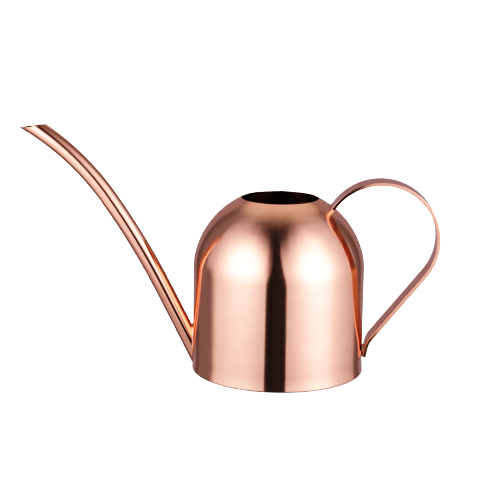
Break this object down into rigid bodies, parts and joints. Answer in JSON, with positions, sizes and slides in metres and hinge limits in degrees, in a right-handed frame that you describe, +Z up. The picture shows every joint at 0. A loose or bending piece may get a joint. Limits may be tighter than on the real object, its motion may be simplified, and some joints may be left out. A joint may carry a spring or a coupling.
{
  "type": "watering can",
  "caption": "Small indoor watering can: round body with a domed top and open filler, long slim curved spout and a looped flat strap handle.",
  "frame": {"origin": "centre of the base on the body's axis, on the surface the can stands on", "axes": "+Z up along the body's axis, out of the filler; +X towards the handle; the spout points to -X"},
  "size_m": [0.2936, 0.1208, 0.1706],
  "materials": {
    "satin_copper_body": "satin copper-coloured plating over sheet steel, brushed round the body",
    "satin_copper_spout": "satin copper-coloured plating over steel tube, brushed lengthways",
    "satin_copper_handle": "satin copper-coloured plating over steel strap, brushed lengthways"
  },
  "bodies": {
    "root": {"body_wall": "satin_copper_body", "body_dome": "satin_copper_body", "shoulder_weld": "satin_copper_body", "base_plate": "satin_copper_body", "base_weld": "satin_copper_body", "spout_tube": "satin_copper_spout", "spout_weld": "satin_copper_spout", "handle_strap": "satin_copper_handle", "handle_top_weld": "satin_copper_handle", "handle_bottom_weld": "satin_copper_handle"}
  },
  "joints": []
}
